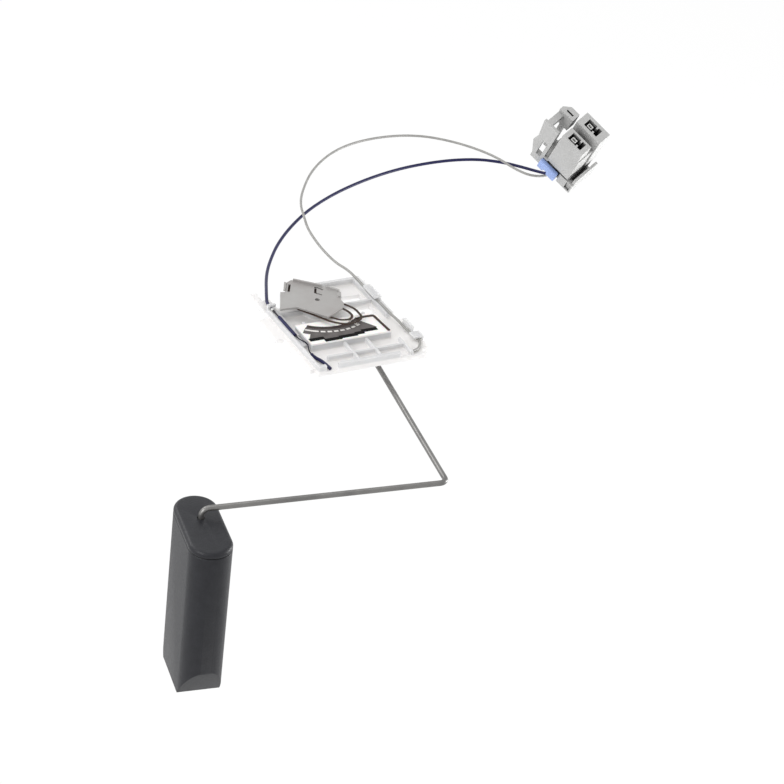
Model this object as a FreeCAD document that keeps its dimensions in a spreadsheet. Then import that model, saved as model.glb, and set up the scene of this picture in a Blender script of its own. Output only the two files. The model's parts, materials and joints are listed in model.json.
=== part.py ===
"""Fuel level sender: a pivoted float arm that drags a wiper over a resistor board.

Units are millimetres. Z is the outward normal of the carrier plate, the origin is where the
pivot axis meets the plate's flat back, and +Y points along the guide rails to the end where
the leads leave. The arm and the float hang on the back side, below the plate.
"""
import FreeCAD
import Part
import math
import os
import re
import Sketcher

doc = FreeCAD.newDocument("level_sender")
sheet = doc.addObject("Spreadsheet::Sheet", "Sizes")
aliases = []


def cell(alias, value, note):
    """One driving size: its name, its value in mm or degrees, and what it measures."""
    row = len(aliases) + 1
    sheet.set(f"A{row}", note)
    sheet.set(f"B{row}", str(value))
    sheet.setAlias(f"B{row}", alias)
    aliases.append(alias)


# Carrier plate
cell("body_left", 23.2, "pivot axis to the left wall's outer face")
cell("body_right", 33.0, "pivot axis to the right wall's outer face")
cell("body_near", 49.5, "pivot axis to the near edge")
cell("body_far", 21.0, "pivot axis to the far edge")
cell("floor_thick", 2.0, "floor of the plate")
cell("wall_top", 5.0, "height of the outer walls above the back")
cell("wall_thick", 1.8, "plain wall")
cell("rib_thick", 1.2, "ribs of the near field")
cell("rib_drop", 0.6, "ribs end this far below the walls")
cell("channel_wall", 3.9, "wall that carries a lead channel")
cell("channel_left", 21.2, "pivot axis to the left channel's centre")
cell("channel_right", 30.8, "pivot axis to the right channel's centre")
cell("channel_end", 6.0, "far end of the left channel wall")
cell("flange_left", 29.0, "pivot axis to the left guide flange's edge")
cell("flange_step", 25.6, "pivot axis to the left flange's narrow part")
cell("flange_right", 36.8, "pivot axis to the right guide flange's edge")
cell("flange_start", 1.0, "far end of the left flange's wide part")
cell("flange_long", 17.0, "length of the left flange's wide part")
cell("flange_slope", 2.0, "slanted ends of the left flange's wide part")
cell("flange_short", 3.5, "left flange ends this far from the near edge")
cell("flange_end", 17.4, "pivot axis to the right flange's end")
cell("near_tab", 4.5, "length of the near right guide tab")
cell("far_tab", 6.5, "length of the far right guide tab")
cell("far_left", 6.0, "pivot axis to the far wall's left end")
cell("apron_far", 2.5, "floor beyond the left channel's end")
cell("tongue_end", 24.6, "end of the left guide tongue")
cell("tongue_free", 7.0, "length of the tongue's narrow end")
cell("tongue_step", 3.6, "root of the tongue, wider than its end")
cell("tongue_wide", 3.6, "width of the guide tongue")
cell("near_open", 10.2, "left wall's outer face to the near wall, open for the blue tail")
cell("near_low", 19.0, "pivot axis to the low stretch of the near wall")
cell("near_sill", 0.4, "height of that stretch above the floor")
cell("rib_left", 2.0, "pivot axis to the left cross rib")
cell("rib_right", 9.3, "pivot axis to the right cross rib")
cell("corner_rib", 24.4, "pivot axis to the rib beside the grey lead's end")
cell("window_wide", 12.0, "lightening window, across")
cell("window_long", 15.0, "lightening window, along")
cell("window_middle", 21.4, "pivot axis to the window's middle")

# Pivot
cell("hub_radius", 4.5, "lever hub")
cell("hub_fit", 0.08, "radial running clearance of the hub")
cell("boss_radius", 7.0, "bearing boss on the plate")
cell("boss_top", 6.6, "top of the bearing boss")
cell("hub_low", 8.6, "hub's lower end below the plate's back")
cell("lip_proud", 0.6, "snap lip beyond the bore")
cell("lip_high", 1.2, "height of the snap lip")
cell("end_float", 0.3, "axial play of the hub")

# Stops for the swing
cell("swing", 59.0, "travel of the arm in degrees")
cell("stop_inner", 8.2, "inner radius of the stop blocks and of the lug")
cell("stop_outer", 11.8, "outer radius of the stop blocks and of the lug")
cell("stop_turn", 120.0, "direction of the lever's lug in degrees")
cell("lug_arc", 14.0, "angle of the lug in degrees")
cell("stop_arc", 14.0, "angle of a stop block in degrees")
cell("stop_gap", 2.2, "play at each stop in degrees")
cell("lug_deep", 2.0, "lug below the lever's plate")

# Resistor board and its printed layers
cell("board_left", 18.2, "pivot axis to the board's left edge")
cell("board_right", 22.8, "pivot axis to the board's right edge")
cell("board_near", 31.9, "pivot axis to the board's near edge")
cell("board_far", 14.0, "pivot axis to the board's far edge")
cell("board_thick", 0.8, "ceramic board")
cell("board_seat", 5.2, "height of the frame that carries the board")
cell("seat_wall", 2.0, "width of that frame")
cell("print_thick", 0.1, "printed layers")
cell("collector_in", 20.1, "inner radius of the collector track")
cell("collector_out", 22.4, "outer radius of the collector track")
cell("pads_in", 23.9, "inner radius of the contact pads")
cell("pads_out", 25.1, "outer radius of the contact pads")
cell("pad_gap", 0.05, "resistor field to a pad")
cell("pad_turn", 0.12, "the same gap at a pad's ends in degrees")
cell("field_out", 27.8, "outer radius of the resistor field's left end")
cell("field_start", -130.0, "direction of the field's left end in degrees")
cell("field_corner", -122.0, "direction where the field reaches the coat in degrees")
cell("field_stop", -56.0, "direction of the field's right end in degrees")
cell("coat_far", 27.0, "pivot axis to the far edge of the dark coat")
cell("coat_wide", 2.4, "width of the dark coat along the field")
cell("coat_end", 17.4, "pivot axis to the coat's right end")
cell("coat_lap", 0.8, "each step of the coat runs under the next")
cell("track_start", -129.4, "direction of the tracks' left end in degrees")
cell("track_stop", -52.0, "direction of the collector's right end in degrees")
cell("pad_pitch", 7.4, "angle from pad to pad in degrees")
cell("pad_arc", 4.9, "angle of a pad in degrees")
cell("post_radius", 0.9, "posts that locate the board")
cell("post_proud", 0.1, "posts above the board")
cell("post_gap", 0.1, "gap between a post and the board")

# Lever and springs
cell("lever_low", 8.0, "underside of the lever plate")
cell("lever_thick", 1.0, "lever plate")
cell("grip_high", 1.2, "raised grip ribs on the lever")
cell("grip_thick", 0.9, "thickness of the grip ribs")
cell("lever_slot", 1.1, "width of the slots in the lever")
cell("strip_wide", 1.2, "spring strip width")
cell("strip_thick", 0.25, "spring strip thickness")
cell("tip_radius", 0.65, "contact tip")
cell("tip_gap", 0.04, "gap from the contact tip to the print")

# Float arm and float
cell("wire_radius", 1.25, "float arm wire")
cell("wire_fit", 0.03, "gap between the wire and the hub")
cell("arm_drop", 6.8, "arm's centreline below the plate's back")
cell("wire_end", 7.6, "top of the wire's end in the hub")
cell("bend_radius", 3.6, "centreline radius of the two end bends")
cell("crank_radius", 12.0, "centreline radius of the bend under the plate")
cell("elbow_radius", 3.4, "centreline radius of the elbow")
cell("crank_x", 14.8, "bend under the plate, across")
cell("crank_y", -30.0, "bend under the plate, along")
cell("elbow_x", -2.9, "elbow, across")
cell("elbow_y", -134.9, "elbow, along")
cell("float_x", -111.3, "float axis, across")
cell("float_y", -118.7, "float axis, along")
cell("float_long", 43.4, "float length")
cell("float_wide", 18.8, "float thickness")
cell("float_high", 78.4, "float height")
cell("float_drop", 4.4, "arm's centreline to the float's top")
cell("float_turn", 80.0, "direction of the float's length in degrees")
cell("hole_shift", 4.2, "float's middle to its hole, along its length")
cell("float_fit", 0.1, "radial clearance of the wire in the float")
cell("bevel_in", 9.4, "end bevels, inwards at the bottom")
cell("bevel_high", 16.5, "end bevels, upwards")
cell("bevel_over", 2.0, "the bevels' cutters reach this far past the foam")
cell("retainer_radius", 4.2, "push-on retainer")
cell("retainer_thick", 0.7, "push-on retainer")
cell("retainer_gap", 0.3, "float to retainer")
cell("wire_proud", 1.2, "wire beyond the retainer")

# Leads
cell("blue_radius", 0.8, "blue lead with its insulation")
cell("grey_radius", 0.65, "grey lead with its insulation")
cell("core_radius", 0.3, "bare conductor")
cell("core_fit", 0.02, "conductor to its sleeve")
cell("ring_radius", 0.9, "crimp ring on the bare conductor")
cell("ring_long", 1.4, "crimp ring")
cell("ring_start", 4.2, "far end of the crimp ring")
cell("shoulder_long", 1.6, "insulation between the left channel's end and the ring")
cell("rail_sleeve", -3.4, "far end of the insulation along the left channel")
cell("tail_room", 18.7, "length of the pocket for the blue tail")
cell("core_room", 8.4, "length of the shallow pocket beyond it")
cell("tail_skin", 1.0, "outer skin beside that pocket")
cell("lead_gap", 0.15, "lead to its clip")
cell("clip_thick", 1.2, "clips over the leads")
cell("rail_clip_start", -3.0, "near end of the far lead clip")
cell("rail_clip_long", 12.0, "length of the far lead clip")
cell("rail_end", -15.0, "near end of the right channel's wall")
cell("cover_start", 11.0, "near edge to the cover over the grey lead")
cell("cover_long", 5.0, "length of that cover")
cell("cover_wide", 5.2, "width of that cover")
cell("cover_thick", 0.9, "that cover and its leg")
cell("block_start", 18.5, "near edge to the guard block beside the grey lead")
cell("block_long", 8.5, "length of that block")
cell("block_thick", 1.6, "thickness of that block")
cell("block_high", 3.6, "height of that block above the floor")
cell("left_clip_back", 1.5, "left channel's end to the near end of its clip")
cell("left_clip_long", 1.2, "length of the left lead clip")
cell("strap_thick", 0.25, "end strap on the board")
cell("strap_wide", 1.3, "end strap width")

# Connector: its X is the mating direction, Y runs along a cavity window, Z from cavity to cavity
cell("plug_x", 176.8, "front corner of the connector")
cell("plug_y", 85.0, "front corner of the connector")
cell("plug_z", 16.8, "front corner of the connector")
cell("plug_yaw", -105.0, "attitude of the connector in degrees")
cell("plug_pitch", -52.9, "attitude of the connector in degrees")
cell("plug_roll", -51.7, "attitude of the connector in degrees")
cell("plug_long", 28.0, "mating length")
cell("plug_back", 9.0, "wire side behind the front corner")
cell("plug_wide", 15.0, "width along a window")
cell("plug_deep", 20.5, "depth across both cavities")
cell("tower_deep", 7.3, "depth of the first tower")
cell("tower_gap", 4.7, "groove between the towers")
cell("groove_deep", 9.0, "depth of that groove")
cell("window_length", 9.0, "cavity window")
cell("window_depth", 5.0, "cavity window")
cell("cavity_deep", 9.0, "depth of a cavity")
cell("cavity_wall", 1.15, "wall beside a cavity")
cell("collar_out", 19.4, "edge of the wire side collar")
cell("guard_out", 12.5, "edge of the latch guard")
cell("guard_thick", 1.6, "latch guard")
cell("guard_gap", 2.4, "slot between the guard and the housing")
cell("latch_thick", 2.0, "latch arm")
cell("latch_low", 10.2, "front corner to the latch arm, from cavity to cavity")
cell("latch_wide", 5.6, "width of the latch arm")
cell("pad_long", 10.5, "length of the latch arm's pad")
cell("bridge_deep", 4.0, "web that carries the guard")
cell("rail_thick", 1.5, "rail beside the wire side")
cell("collar_in", 10.0, "front corner to the wire side collar, along a window")
cell("contact_wide", 3.0, "contact receptacle")
cell("contact_deep", 2.1, "contact receptacle")
cell("lock_long", 11.8, "secondary lock, along a window")
cell("lock_start", -2.6, "front corner to the secondary lock, along a window")
cell("lock_high", 7.0, "secondary lock, along the mating direction")
cell("lock_proud", 2.4, "secondary lock, proud of the housing")
cell("lock_tongue", 11.0, "tongue of the lock inside the housing")
cell("lock_gap", 0.3, "clearance round the lock")
doc.recompute()


def full(expression):
    """The expression with each alias written as the sheet's own name."""
    pattern = r"\b(" + "|".join(sorted(aliases, key=len, reverse=True)) + r")\b"
    return re.sub(pattern, r"Sizes.\1", str(expression))


def size(expression):
    """The number that an expression of aliases stands for now."""
    return float(sheet.evalExpression(full(expression)))


def bind(thing, **expressions):
    """Binds properties of a document object to the sheet."""
    for name, expression in expressions.items():
        thing.setExpression(name.replace("_", "."), full(expression))


def place(thing, x, y, z, turn=None):
    """Puts an object's own origin at x, y, z, turned about Z, all bound to the sheet."""
    if turn is not None:
        thing.Placement = FreeCAD.Placement(
            FreeCAD.Vector(), FreeCAD.Rotation(FreeCAD.Vector(0, 0, 1), size(turn))
        )
        bind(thing, Placement_Rotation_Angle=turn)
    bind(thing, Placement_Base_x=x, Placement_Base_y=y, Placement_Base_z=z)
    return thing


def box(name, start, span, turn=None):
    """A block from its low corner, as three expressions, with its three lengths."""
    block = doc.addObject("Part::Box", name)
    bind(block, Length=span[0], Width=span[1], Height=span[2])
    return place(block, *start, turn)


def rod(name, start, radius, height, arc=None, turn=None):
    """A vertical cylinder, or a sector of one."""
    cylinder = doc.addObject("Part::Cylinder", name)
    bind(cylinder, Radius=radius, Height=height)
    if arc is not None:
        bind(cylinder, Angle=arc)
    return place(cylinder, *start, turn)


def outline(name, corners):
    """A closed sketch of straight sides, with each corner bound to the sheet."""
    sketch = doc.addObject("Sketcher::SketchObject", name)
    points = [FreeCAD.Vector(size(x), size(y), 0) for x, y in corners]
    count = len(points)
    for i in range(count):
        sketch.addGeometry(Part.LineSegment(points[i], points[(i + 1) % count]), False)
    for i in range(count):
        sketch.addConstraint(Sketcher.Constraint("Coincident", i, 2, (i + 1) % count, 1))
    for i, corner in enumerate(corners):
        for kind, expression in zip(("DistanceX", "DistanceY"), corner):
            number = sketch.addConstraint(Sketcher.Constraint(kind, -1, 1, i, 1, size(expression)))
            sketch.setExpression(f"Constraints[{number}]", full(expression))
    return sketch


def prism(name, corners, low, height):
    """A flat outline of straight sides, raised by a height."""
    sketch = outline(name + "_outline", corners)
    bind(sketch, Placement_Base_z=low)
    solid = doc.addObject("Part::Extrusion", name)
    solid.Base = sketch
    solid.DirMode = "Custom"
    solid.Dir = FreeCAD.Vector(0, 0, 1)
    solid.Solid = True
    bind(solid, LengthFwd=height)
    return solid


def fuse(name, shapes):
    """One solid of several that touch or overlap."""
    joined = doc.addObject("Part::MultiFuse", name)
    joined.Shapes = shapes
    joined.Refine = True
    return joined


def cut(name, base, tools):
    """The base with the tools taken out."""
    tool = tools[0]
    if len(tools) > 1:
        tool = doc.addObject("Part::MultiFuse", name + "_tools")
        tool.Shapes = tools
    left = doc.addObject("Part::Cut", name)
    left.Base = base
    left.Tool = tool
    left.Refine = True
    return left


def sector(name, inner, outer, low, height, start, arc):
    """A flat ring sector about the pivot axis."""
    whole = rod(name + "_outer", ("0", "0", low), outer, height, arc, start)
    core = rod(name + "_inner", ("0", "0", f"{low} - 1"), inner, f"{height} + 2")
    return cut(name, whole, [core])


def rounded_path(points, radius_of):
    """A wire of straight runs joined by tangent arcs."""
    corners = [FreeCAD.Vector(*p) for p in points]
    edges = []
    start = corners[0]
    for before, corner, after in zip(corners, corners[1:], corners[2:]):
        back = (before - corner).normalize()
        ahead = (after - corner).normalize()
        turn = math.pi - back.getAngle(ahead)
        shorter = min(before.distanceToPoint(corner), after.distanceToPoint(corner))
        radius = radius_of(shorter, turn)
        reach = radius * math.tan(turn / 2)
        first = corner + back * reach
        last = corner + ahead * reach
        middle_way = (back + ahead).normalize()
        middle = corner + middle_way * (radius / math.cos(turn / 2) - radius)
        edges.append(Part.LineSegment(start, first).toShape())
        edges.append(Part.Arc(first, middle, last).toShape())
        start = last
    edges.append(Part.LineSegment(start, corners[-1]).toShape())
    return Part.Wire(edges)


def bend_radii(wire):
    """The radii of a wire's arcs, in order."""
    return [round(edge.Curve.Radius, 1) for edge in wire.Edges if isinstance(edge.Curve, Part.Circle)]


def lead_bend(shorter, turn):
    """A lead's bends are as large as their two runs allow."""
    return 0.45 * shorter / math.tan(turn / 2)


def solid_feature(name, shape):
    """A sub-part whose shape is built here from the sheet's sizes."""
    feature = doc.addObject("Part::Feature", name)
    feature.Shape = shape
    feature.Placement = FreeCAD.Placement()
    return feature


def tube_shape(wire, radius):
    """A round bar along a wire."""
    start = wire.Edges[0].firstVertex().Point
    way = wire.Edges[0].tangentAt(wire.Edges[0].FirstParameter)
    ring = Part.Wire([Part.Circle(start, way, radius).toShape()])
    bar = wire.makePipeShell([ring], True, False)
    expected = math.pi * radius**2 * wire.Length
    if abs(bar.Volume - expected) > 0.01 * expected:
        raise ValueError("a tube's volume differs from its section times its length")
    return bar


def strip_shape(wire, width, thickness):
    """A flat strip on edge-wise sections along a wire in a plane of constant Z, on its low side."""
    start = wire.Edges[0].firstVertex().Point
    way = wire.Edges[0].tangentAt(wire.Edges[0].FirstParameter)
    side = FreeCAD.Vector(0, 0, 1).cross(way).normalize() * (width / 2)
    up = FreeCAD.Vector(0, 0, thickness)
    corners = [start - side, start + side, start + side + up, start - side + up]
    section = Part.makePolygon(corners + [corners[0]])
    return wire.makePipeShell([section], True, True)


pieces = []


def piece(thing, node):
    """Registers a finished sub-part under its node name."""
    thing.Label = node
    pieces.append(thing)
    return thing


def make_carrier():
    """The moulded plate: floor with guide flanges, walls, lead channels, bearing boss and stops."""
    floor = prism(
        "carrier_floor",
        [
            ("-body_left", "-body_near"),
            ("body_right", "-body_near"),
            ("body_right", "-body_near + near_tab"),
            ("flange_right", "-body_near + near_tab"),
            ("flange_right", "-flange_end"),
            ("body_right", "-flange_end"),
            ("body_right", "body_far - far_tab"),
            ("flange_right", "body_far - far_tab"),
            ("flange_right", "body_far"),
            ("-far_left", "body_far"),
            ("-far_left", "channel_end + apron_far"),
            ("-body_left + tongue_wide + tongue_step", "channel_end + apron_far"),
            ("-body_left + tongue_wide + tongue_step", "tongue_end - tongue_free"),
            ("-body_left + tongue_wide", "tongue_end - tongue_free"),
            ("-body_left + tongue_wide", "tongue_end"),
            ("-body_left", "tongue_end"),
            ("-body_left", "flange_start + flange_slope"),
            ("-flange_left", "flange_start"),
            ("-flange_left", "flange_start - flange_long"),
            ("-flange_step", "flange_start - flange_long - flange_slope"),
            ("-flange_step", "-body_near + flange_short"),
            ("-body_left", "-body_near + flange_short"),
        ],
        "0",
        "floor_thick",
    )
    rise = "wall_top - floor_thick"
    near_wall = box(
        "near_wall",
        ("-body_left + near_open", "-body_near", "floor_thick"),
        ("body_left - near_open + near_low", "wall_thick", rise),
    )
    near_low_wall = box(
        "near_low_wall",
        ("near_low", "-body_near", "floor_thick"),
        ("body_right - near_low", "wall_thick", "near_sill"),
    )
    far_wall = box(
        "far_wall",
        ("-far_left", "body_far - wall_thick", "floor_thick"),
        ("far_left + body_right", "wall_thick", rise),
    )
    left_wall = box(
        "left_wall",
        ("-body_left", "-body_near", "floor_thick"),
        ("channel_wall", "body_near + channel_end", rise),
    )
    right_wall = box(
        "right_wall",
        ("body_right - channel_wall", "rail_end", "floor_thick"),
        ("channel_wall", "body_far - rail_end", rise),
    )
    rib_rise = "wall_top - rib_drop - floor_thick"
    row_start = "-body_left + near_open - wall_thick"
    rib_row = box(
        "rib_row",
        (row_start, "-(body_near + board_near + wall_thick) / 2", "floor_thick"),
        (f"corner_rib + 0.5 - ({row_start})", "rib_thick", rib_rise),
    )
    corner_rib = box(
        "corner_rib_wall",
        ("corner_rib", "-body_near + 0.5", "floor_thick"),
        ("rib_thick", "(body_near - board_near) / 2 + 4.5", rib_rise),
    )
    ribs = [near_wall, near_low_wall, far_wall, left_wall, right_wall, corner_rib, rib_row]
    for name, x in (("left", "-rib_left"), ("right", "rib_right")):
        ribs.append(
            box(
                f"rib_cross_{name}",
                (x, "-body_near", "floor_thick"),
                ("rib_thick", "body_near - board_near + seat_wall", rib_rise),
            )
        )
    seat_rise = "board_seat - floor_thick"
    seat_block = box(
        "seat_block",
        ("-board_left", "-board_near", "floor_thick"),
        ("board_left + board_right", "board_near - board_far", seat_rise),
    )
    seat_hollow = box(
        "seat_hollow",
        ("-board_left + seat_wall", "-board_near + seat_wall", "floor_thick"),
        (
            "board_left + board_right - 2 * seat_wall",
            "board_near - board_far - 2 * seat_wall",
            f"{seat_rise} + 1",
        ),
    )
    seat = cut("board_frame", seat_block, [seat_hollow])
    boss = rod("bearing_boss", ("0", "0", "0"), "boss_radius", "boss_top")
    web = box(
        "boss_web",
        ("boss_radius - 1", "-rib_thick / 2", "floor_thick"),
        ("body_right - channel_wall - boss_radius + 2", "rib_thick", rib_rise),
    )
    near_web = box(
        "near_web",
        ("-rib_thick / 2", "-board_far - 0.5", "floor_thick"),
        ("rib_thick", "board_far - boss_radius + 1.5", rib_rise),
    )
    left_web = box(
        "left_web",
        ("-body_left + channel_wall - 0.5", "-rib_thick / 2", "floor_thick"),
        ("body_left - channel_wall - boss_radius + 1.5", "rib_thick", rib_rise),
    )
    stop_low = "floor_thick"
    stop_height = "lever_low - end_float - 0.5 - floor_thick"
    first_stop = sector(
        "rest_stop",
        "stop_inner",
        "stop_outer",
        stop_low,
        stop_height,
        "stop_turn + lug_arc / 2 + stop_gap",
        "stop_arc",
    )
    second_stop = sector(
        "far_stop",
        "stop_inner",
        "stop_outer",
        stop_low,
        stop_height,
        "stop_turn - swing - lug_arc / 2 - stop_gap - stop_arc",
        "stop_arc",
    )
    posts = []
    post_height = "board_seat + board_thick + post_proud - floor_thick"
    for number, (x, y) in enumerate(
        (
            ("-board_left + 5", "-board_far + post_radius + post_gap"),
            ("board_right - 5", "-board_far + post_radius + post_gap"),
        )
    ):
        posts.append(
            rod(f"board_post_{number + 1}", (x, y, "floor_thick"), "post_radius", post_height)
        )
    cover_room = "2 * grey_radius + 3 * lead_gap"
    clips = [
        box(
            "far_clip_leg",
            ("body_right - clip_thick", "rail_clip_start", "wall_top"),
            ("clip_thick", "rail_clip_long", "grey_radius + lead_gap + clip_thick"),
        ),
        box(
            "far_clip_roof",
            ("body_right - channel_wall", "rail_clip_start", "wall_top + grey_radius + lead_gap"),
            ("channel_wall", "rail_clip_long", "clip_thick"),
        ),
        box(
            "left_clip_leg",
            ("-body_left", "channel_end - left_clip_back", "wall_top"),
            ("clip_thick", "left_clip_long", "blue_radius + lead_gap + clip_thick"),
        ),
        box(
            "left_clip_roof",
            ("-body_left", "channel_end - left_clip_back", "wall_top + blue_radius + lead_gap"),
            ("channel_wall", "left_clip_long", "clip_thick"),
        ),
        box(
            "corner_cover_leg",
            ("flange_right - cover_thick", "-body_near + cover_start", "floor_thick"),
            ("cover_thick", "cover_long", f"{cover_room} + cover_thick"),
        ),
        box(
            "corner_cover",
            ("flange_right - cover_wide", "-body_near + cover_start", f"floor_thick + {cover_room}"),
            ("cover_wide", "cover_long", "cover_thick"),
        ),
        box(
            "corner_block",
            ("body_right + 1", "-body_near + block_start", "floor_thick"),
            ("block_thick", "block_long", "block_high"),
        ),
    ]
    whole = fuse(
        "carrier_body",
        [floor, seat, boss, web, near_web, left_web, first_stop, second_stop]
        + ribs
        + posts
        + clips,
    )
    bore = rod("pivot_bore", ("0", "0", "-1"), "hub_radius + hub_fit", "boss_top + 2")
    window = box(
        "lightening_window",
        ("window_middle - window_wide / 2", "rib_thick / 2 + 1", "-1"),
        ("window_wide", "window_long / 2", "floor_thick + 2"),
    )
    window_low = box(
        "lightening_window_near",
        ("window_middle - window_wide / 2", "-rib_thick / 2 - 1 - window_long / 2", "-1"),
        ("window_wide", "window_long / 2", "floor_thick + 2"),
    )
    channels = []
    for name, x, start, length, radius in (
        ("left_channel", "-channel_left", "-body_near + 8", "body_near + channel_end", "blue_radius"),
        ("right_channel", "channel_right", "rail_end - 1", "body_far - rail_end + 2", "grey_radius"),
    ):
        groove = doc.addObject("Part::Cylinder", name)
        groove.Placement = FreeCAD.Placement(
            FreeCAD.Vector(), FreeCAD.Rotation(FreeCAD.Vector(1, 0, 0), -90)
        )
        bind(groove, Radius=f"{radius} + lead_gap", Height=length)
        bind(groove, Placement_Base_x=x, Placement_Base_y=start, Placement_Base_z="wall_top")
        channels.append(groove)
    tail_pocket = box(
        "tail_pocket",
        ("-body_left + tail_skin", "-body_near + wall_thick", "floor_thick"),
        ("body_left - board_left - tail_skin - 0.1", "tail_room", "wall_top"),
    )
    core_pocket = box(
        "core_pocket",
        (
            "-channel_left - blue_radius - lead_gap",
            "-body_near + wall_thick + tail_room - 0.1",
            "wall_top - core_radius - 3 * lead_gap",
        ),
        ("channel_left + blue_radius + lead_gap - board_left - 0.1", "core_room", "2"),
    )
    ring_seat = doc.addObject("Part::Cylinder", "ring_seat")
    ring_seat.Placement = FreeCAD.Placement(
        FreeCAD.Vector(), FreeCAD.Rotation(FreeCAD.Vector(1, 0, 0), -90)
    )
    bind(ring_seat, Radius="ring_radius + lead_gap", Height="ring_long + 2 * lead_gap")
    bind(
        ring_seat,
        Placement_Base_x="-channel_left",
        Placement_Base_y="ring_start - ring_long - lead_gap",
        Placement_Base_z="wall_top",
    )
    carrier = cut(
        "carrier_cut",
        whole,
        [bore, window, window_low, tail_pocket, core_pocket, ring_seat] + channels,
    )
    piece(carrier, "carrier")


COAT_STEPS = [
    ("-board_left + 0.4", 0.0),
    ("-11.0", 2.2),
    ("-3.2", 1.6),
    ("5.3", 0.8),
    ("9.2", -0.4),
]


def pad_row(name, low, height, gap, turn):
    """The long first pad and the short ones after it, each wider all round by a gap."""
    pads = []
    for number in range(8):
        start = f"track_start + pad_pitch * {number + 1.33}" if number else "track_start"
        arc = "pad_arc" if number else "2 * pad_pitch"
        pads.append(
            sector(
                f"{name}_{number + 1}",
                f"pads_in - {gap}",
                f"pads_out + {gap}",
                low,
                height,
                f"{start} - {turn}",
                f"{arc} + 2 * {turn}",
            )
        )
    return pads


def make_board():
    """The ceramic board with its printed layers."""
    base = box(
        "board_blank",
        ("-board_left", "-board_near", "board_seat"),
        ("board_left + board_right", "board_near - board_far", "board_thick"),
    )
    corner = box(
        "board_notch",
        ("board_right - 2.5", "-board_far - 2.5", "board_seat - 1"),
        ("4", "4", "board_thick + 2"),
    )
    piece(cut("board_cut", base, [corner]), "resistor_board")
    low = "board_seat + board_thick"
    arc = "track_stop - track_start"
    piece(
        sector("collector", "collector_in", "collector_out", low, "print_thick", "track_start", arc),
        "collector_track",
    )
    group = doc.addObject("Part::Compound", "pads")
    group.Links = pad_row("pad", low, "print_thick", "0", "0")
    piece(group, "contact_segments")
    coats = []
    shades = []
    starts = [x for x, drop in COAT_STEPS]
    ends = [f"{x} + coat_lap" for x in starts[1:]] + ["coat_end"]
    for number, ((x, drop), end) in enumerate(zip(COAT_STEPS, ends)):
        far = f"-coat_far - {drop}"
        coats.append(
            box(
                f"coat_{number + 1}",
                (x, f"{far} - coat_wide", low),
                (f"{end} - ({x})", "coat_wide", "print_thick"),
            )
        )
        reach = 4 if number in (0, len(COAT_STEPS) - 1) else 0
        shades.append(
            box(
                f"coat_clearance_{number + 1}",
                (f"{x} - {reach if number == 0 else 0}", f"{far} - 12", f"{low} - 1"),
                (f"{end} - ({x}) + {reach}", "12", "print_thick + 2"),
            )
        )
    piece(fuse("coat_band", coats), "field_coat")
    inner = "collector_out + 0.1"
    left = sector(
        "field_left", inner, "field_out", low, "print_thick", "field_start", "field_corner - field_start"
    )
    right = sector(
        "field_right",
        inner,
        "board_near + 2",
        low,
        "print_thick",
        "field_corner - 0.5",
        "field_stop - field_corner + 0.5",
    )
    clearances = pad_row("pad_clearance", f"{low} - 1", "print_thick + 2", "pad_gap", "pad_turn")
    field = cut("field_cut", fuse("field_whole", [left, right]), shades + clearances)
    piece(field, "resistor_field")


def make_end_strap():
    """The flat strap on the board's right end, where the grey lead's circuit meets the track."""
    level = size("board_seat + board_thick + print_thick")
    right = size("board_right")
    near = -size("board_near")
    points = [
        (right - 10.6, -17.2, level),
        (right - 6.4, -16.6, level),
        (right - 1.7, -16.8, level),
        (right - 0.9, near + 0.4, level),
    ]
    wire = rounded_path(points, lambda shorter, turn: 1.2)
    strip = strip_shape(wire, size("strap_wide"), size("strap_thick"))
    piece(solid_feature("strap", strip), "end_strap")


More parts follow.
